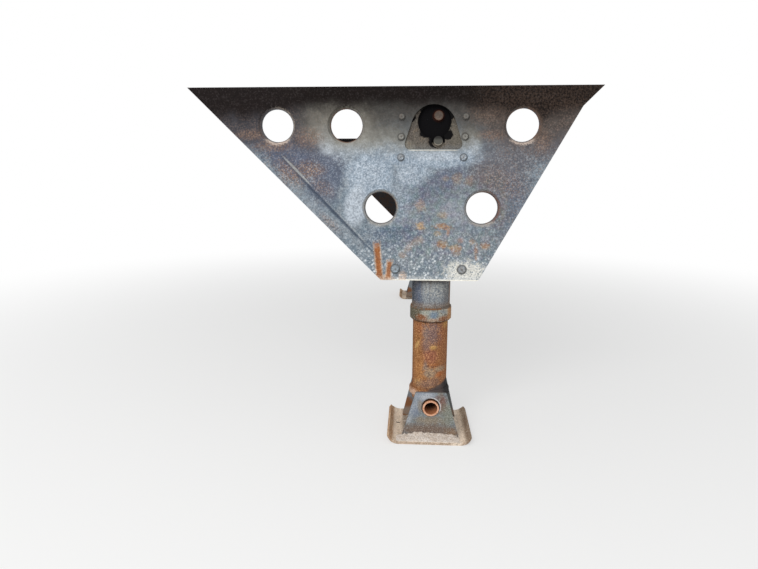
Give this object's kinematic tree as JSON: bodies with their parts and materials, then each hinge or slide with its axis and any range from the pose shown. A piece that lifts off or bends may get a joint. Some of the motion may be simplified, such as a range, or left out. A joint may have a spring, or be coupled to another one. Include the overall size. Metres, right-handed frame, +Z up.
{
  "type": "semi trailer landing gear set with wing plates",
  "caption": "Two round telescoping support legs with sand shoes, bolted to perforated wing plates, joined by a cross shaft and cross brace, with a folding crank.",
  "frame": {"origin": "on the trailer's centreline, in the plane where the wing plates' top flanges meet the crossmembers' undersides", "axes": "+X to the trailer's front, +Y to its road side where the crank is, +Z up"},
  "size_m": [1.212, 2.411, 1.106],
  "materials": {
    "weathered_plate": "weathered blue-grey with chalky bloom and rust freckles",
    "greasy_flange": "grey-brown, greasy round the opening",
    "gear_case": "cast, black with old grease",
    "blue_grey_tube": "blue-grey paint, speckled",
    "collar_steel": "greenish grey, rusting at the lower rim",
    "rusty_tube": "orange-brown rust",
    "rusty_pin": "pale orange rust",
    "dusty_shoe": "dusty beige-grey with rusty edges",
    "foot_steel": "dark blue-grey, brown below",
    "brace_steel": "dark grey paint with rust",
    "shaft_steel": "dull, brown with rust",
    "bright_shaft": "worn bright",
    "handle_steel": "dark, rust-freckled",
    "handle_grip": "dark, worn"
  },
  "bodies": {
    "frame": {"wing_plate_curb": "weathered_plate", "wing_plate_road": "weathered_plate", "head_flange_curb": "greasy_flange", "head_flange_road": "greasy_flange", "gear_head_curb": "gear_case", "gear_head_road": "gear_case", "outer_tube_curb": "blue_grey_tube", "outer_tube_road": "blue_grey_tube", "collar_curb": "collar_steel", "collar_road": "collar_steel", "leg_bracket_curb": "weathered_plate", "leg_bracket_road": "weathered_plate", "brace_tabs_curb": "brace_steel", "brace_tabs_road": "brace_steel", "brace_front": "brace_steel", "brace_rear": "brace_steel", "brace_spacer": "brace_steel", "crank_case": "gear_case"},
    "leg_curb": {"inner_tube_curb": "rusty_tube", "foot_pin_curb": "rusty_pin"},
    "leg_road": {"inner_tube_road": "rusty_tube", "foot_pin_road": "rusty_pin"},
    "foot_curb": {"foot_shoe_curb": "dusty_shoe", "foot_ears_curb": "foot_steel"},
    "foot_road": {"foot_shoe_road": "dusty_shoe", "foot_ears_road": "foot_steel"},
    "shaft": {"cross_shaft": "shaft_steel", "shaft_stub_curb": "bright_shaft", "shaft_stub_road": "bright_shaft"},
    "crank": {"crank_shaft": "shaft_steel", "crank_pin": "bright_shaft"},
    "handle": {"crank_handle": "handle_steel", "crank_grip": "handle_grip"}
  },
  "joints": [
    {"name": "leg_slide_curb", "type": "slide", "parent": "frame", "child": "leg_curb", "axis": [0, 0, -1], "range_m": [-0.205, 0.225]},
    {"name": "leg_slide_road", "type": "slide", "parent": "frame", "child": "leg_road", "axis": [0, 0, -1], "range_m": [-0.205, 0.225]},
    {"name": "foot_tilt_curb", "type": "hinge", "parent": "leg_curb", "child": "foot_curb", "pos_m": [0.013, -1.03, -0.998], "axis": [0, 1, 0], "range_deg": [-15, 15]},
    {"name": "foot_tilt_road", "type": "hinge", "parent": "leg_road", "child": "foot_road", "pos_m": [0.013, 1.03, -0.998], "axis": [0, 1, 0], "range_deg": [-15, 15]},
    {"name": "shaft_turn", "type": "hinge", "parent": "frame", "child": "shaft", "pos_m": [0.017, 0, -0.081], "axis": [0, 1, 0], "continuous": true},
    {"name": "crank_turn", "type": "hinge", "parent": "frame", "child": "crank", "pos_m": [0.017, 1.238, -0.1526], "axis": [0, 1, 0], "continuous": true},
    {"name": "handle_fold", "type": "hinge", "parent": "crank", "child": "handle", "pos_m": [0.017, 1.238, -0.1526], "axis": [1, 0, 0], "range_deg": [0, 180]}
  ],
  "couplings": [
    {"joint": "leg_slide_road", "follows": "leg_slide_curb", "ratio": 1},
    {"joint": "crank_turn", "follows": "shaft_turn", "ratio": -1}
  ]
}
